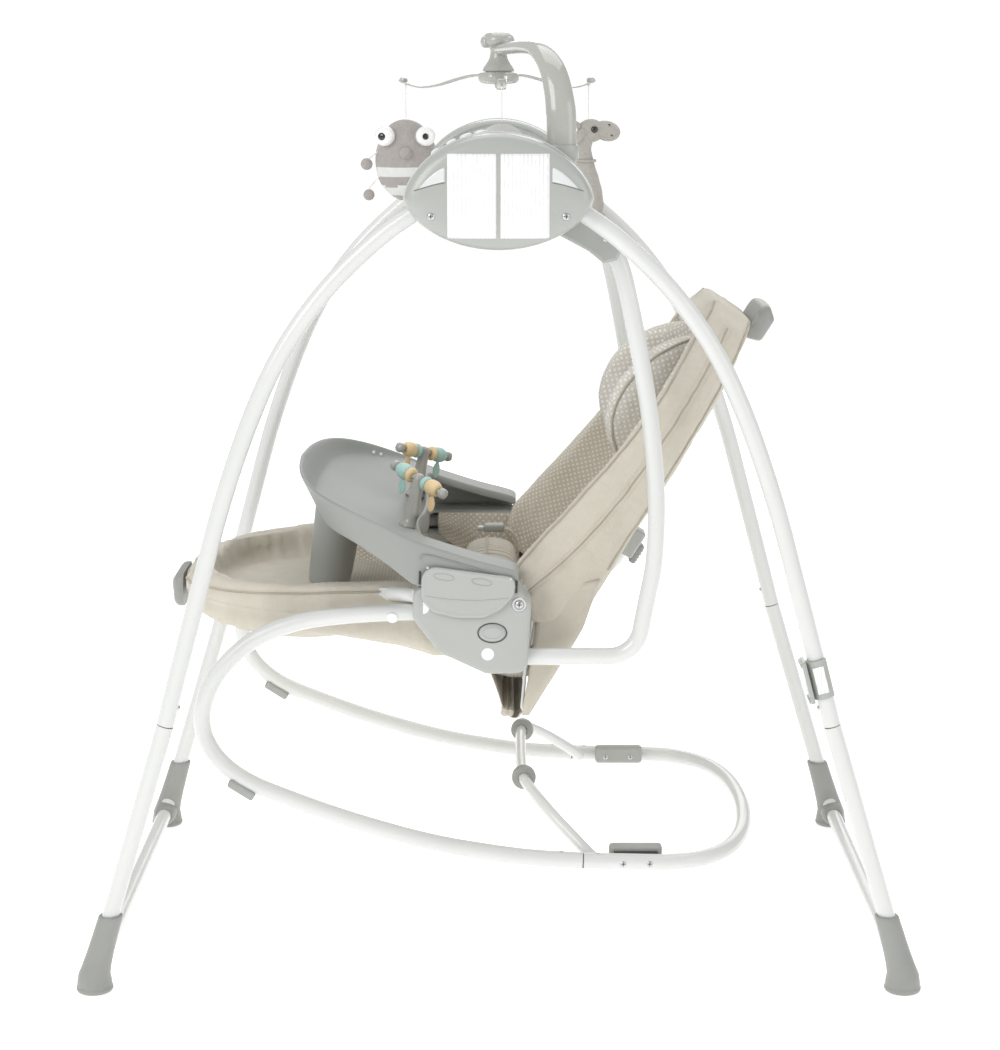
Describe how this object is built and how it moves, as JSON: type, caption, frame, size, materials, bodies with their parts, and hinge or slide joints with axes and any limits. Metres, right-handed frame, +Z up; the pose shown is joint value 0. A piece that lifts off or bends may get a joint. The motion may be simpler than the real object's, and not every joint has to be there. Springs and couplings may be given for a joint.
{
  "type": "baby swing",
  "caption": "Standing baby swing: tubular frame, drive hubs, J-shaped arms and a reclining padded rocker seat with play tray and hanging toy mobile.",
  "frame": {"origin": "on the floor, midway between the four feet", "axes": "+X towards the head end, +Y towards the far side (the camera looks along +Y), +Z up"},
  "size_m": [0.939, 0.6694, 1.048],
  "materials": {
    "beige_fabric": "woven, padded",
    "dark_plastic": "matt moulded",
    "dotted_fabric": "printed cotton, padded",
    "grey_plastic": "satin moulded",
    "mint_plastic": "gloss moulded",
    "plush_grey": "plush",
    "plush_light": "plush",
    "steel": "plated",
    "string": "white nylon string",
    "white_plastic": "satin moulded",
    "white_steel": "satin off-white paint",
    "yellow_plastic": "gloss moulded"
  },
  "bodies": {
    "arms": {"arm_bracket_far": "grey_plastic", "arm_bracket_near": "grey_plastic", "swing_arm_far": "white_steel", "swing_arm_near": "white_steel"},
    "back": {"back_cushion": "beige_fabric", "back_frame_tube": "white_steel", "back_handle": "dark_plastic", "head_pillow": "dotted_fabric"},
    "bead_far_front": {"bead_roller_far_front": "yellow_plastic"},
    "bead_far_rear": {"bead_roller_far_rear": "mint_plastic"},
    "bead_near_front": {"bead_roller_near_front": "mint_plastic"},
    "bead_near_rear": {"bead_roller_near_rear": "yellow_plastic"},
    "stand": {"foot_cap_front_far": "dark_plastic", "foot_cap_front_near": "dark_plastic", "foot_cap_rear_far": "dark_plastic", "foot_cap_rear_near": "dark_plastic", "front_base_tube": "white_steel", "hub_inner_far": "grey_plastic", "hub_inner_near": "grey_plastic", "hub_outer_far": "grey_plastic", "hub_outer_near": "grey_plastic", "leg_clip": "dark_plastic", "leg_front_far": "white_steel", "leg_front_near": "white_steel", "leg_rear_far": "white_steel", "leg_rear_near": "white_steel", "mobile_arm": "grey_plastic", "rear_base_tube": "white_steel"},
    "kickstand": {"kickstand": "white_steel"},
    "mobile": {"mobile_spinner": "grey_plastic"},
    "power": {"power_button": "white_plastic"},
    "seat": {"rail_pad_far": "grey_plastic", "rail_pad_near": "grey_plastic", "rocker_rail_far": "white_steel", "rocker_rail_near": "white_steel", "rocker_rear_tube": "white_steel", "runner_block_far": "grey_plastic", "runner_block_near": "grey_plastic", "seat_cushion": "beige_fabric", "seat_frame_tube": "white_steel", "side_housing_far": "grey_plastic", "side_housing_near": "grey_plastic", "vibration_unit": "grey_plastic"},
    "release_far": {"release_button_far": "grey_plastic"},
    "release_near": {"release_button_near": "grey_plastic"},
    "snap_front_far": {"snap_button_front_far": "steel"},
    "snap_front_near": {"snap_button_front_near": "steel"},
    "snap_rear_far": {"snap_button_rear_far": "steel"},
    "snap_rear_near": {"snap_button_rear_near": "steel"},
    "toy_bug": {"string_bug": "string", "toy_bug": "plush_grey"},
    "toy_cloud": {"string_cloud": "string", "toy_cloud": "plush_light"},
    "toy_giraffe": {"string_giraffe": "string", "toy_giraffe": "plush_light"},
    "tray": {"toy_post_far": "grey_plastic", "toy_post_near": "grey_plastic", "tray": "grey_plastic"},
    "latch_far": {"tray_latch_far": "grey_plastic"},
    "latch_near": {"tray_latch_near": "grey_plastic"}
  },
  "joints": [
    {"name": "swing_pivot", "type": "hinge", "parent": "stand", "child": "arms", "pos_m": [0, 0, 0.883], "axis": [0, 1, 0], "range_deg": [-12, 12]},
    {"name": "seat_release", "type": "slide", "parent": "arms", "child": "seat", "axis": [-1, 0, 0], "range_m": [0, 0.045]},
    {"name": "back_recline", "type": "hinge", "parent": "seat", "child": "back", "pos_m": [0.023, 0, 0.429], "axis": [0, 1, 0], "range_deg": [-6, 20]},
    {"name": "kickstand_fold", "type": "hinge", "parent": "seat", "child": "kickstand", "pos_m": [0.107, 0, 0.1225], "axis": [0, -1, 0], "range_deg": [0, 70]},
    {"name": "tray_lift", "type": "slide", "parent": "seat", "child": "tray", "axis": [0, 0, 1], "range_m": [0, 0.06]},
    {"name": "tray_latch_near", "type": "hinge", "parent": "tray", "child": "latch_near", "pos_m": [-0.032, -0.2591, 0.4645], "axis": [-0.9912, 0, 0.1322], "range_deg": [0, 20], "stiffness_Nm_per_rad": 0.08},
    {"name": "release_button_near", "type": "slide", "parent": "seat", "child": "release_near", "axis": [0, 1, 0], "range_m": [0, 0.003], "stiffness_N_per_m": 600},
    {"name": "tray_latch_far", "type": "hinge", "parent": "tray", "child": "latch_far", "pos_m": [-0.032, 0.2591, 0.4645], "axis": [0.9912, 0, -0.1322], "range_deg": [0, 20], "stiffness_Nm_per_rad": 0.08},
    {"name": "release_button_far", "type": "slide", "parent": "seat", "child": "release_far", "axis": [0, -1, 0], "range_m": [0, 0.003], "stiffness_N_per_m": 600},
    {"name": "mobile_spin", "type": "hinge", "parent": "stand", "child": "mobile", "pos_m": [0, 0, 0.998], "axis": [0, 0, 1], "continuous": true},
    {"name": "toy_swing_bug", "type": "hinge", "parent": "mobile", "child": "toy_bug", "pos_m": [-0.10996, 0.05945, 0.988], "axis": [-0.4756, -0.8796, 0], "range_deg": [-20, 20]},
    {"name": "toy_swing_giraffe", "type": "hinge", "parent": "mobile", "child": "toy_giraffe", "pos_m": [0.10647, 0.0655, 0.988], "axis": [-0.524, 0.8517, 0], "range_deg": [-20, 20]},
    {"name": "toy_swing_cloud", "type": "hinge", "parent": "mobile", "child": "toy_cloud", "pos_m": [0.00349, -0.12495, 0.988], "axis": [0.9996, 0.0279, 0], "range_deg": [-20, 20]},
    {"name": "bead_spin_near_front", "type": "hinge", "parent": "tray", "child": "bead_near_front", "pos_m": [-0.1069, -0.08276, 0.54736], "axis": [0.6339, -0.7337, -0.2446], "continuous": true},
    {"name": "bead_spin_near_rear", "type": "hinge", "parent": "tray", "child": "bead_near_rear", "pos_m": [-0.07711, -0.11724, 0.53586], "axis": [0.6339, -0.7337, -0.2446], "continuous": true},
    {"name": "bead_spin_far_front", "type": "hinge", "parent": "tray", "child": "bead_far_front", "pos_m": [-0.1069, 0.08276, 0.54736], "axis": [0.6339, 0.7337, -0.2446], "continuous": true},
    {"name": "bead_spin_far_rear", "type": "hinge", "parent": "tray", "child": "bead_far_rear", "pos_m": [-0.07711, 0.11724, 0.53586], "axis": [0.6339, 0.7337, -0.2446], "continuous": true},
    {"name": "snap_front_near", "type": "slide", "parent": "stand", "child": "snap_front_near", "axis": [-1, 0, 0], "range_m": [0, 0.003], "stiffness_N_per_m": 500},
    {"name": "snap_front_far", "type": "slide", "parent": "stand", "child": "snap_front_far", "axis": [-1, 0, 0], "range_m": [0, 0.003], "stiffness_N_per_m": 500},
    {"name": "snap_rear_near", "type": "slide", "parent": "stand", "child": "snap_rear_near", "axis": [1, 0, 0], "range_m": [0, 0.003], "stiffness_N_per_m": 500},
    {"name": "snap_rear_far", "type": "slide", "parent": "stand", "child": "snap_rear_far", "axis": [1, 0, 0], "range_m": [0, 0.003], "stiffness_N_per_m": 500},
    {"name": "power_press", "type": "slide", "parent": "stand", "child": "power", "axis": [0.4299, 0, -0.9029], "range_m": [0, 0.0015], "stiffness_N_per_m": 500}
  ]
}
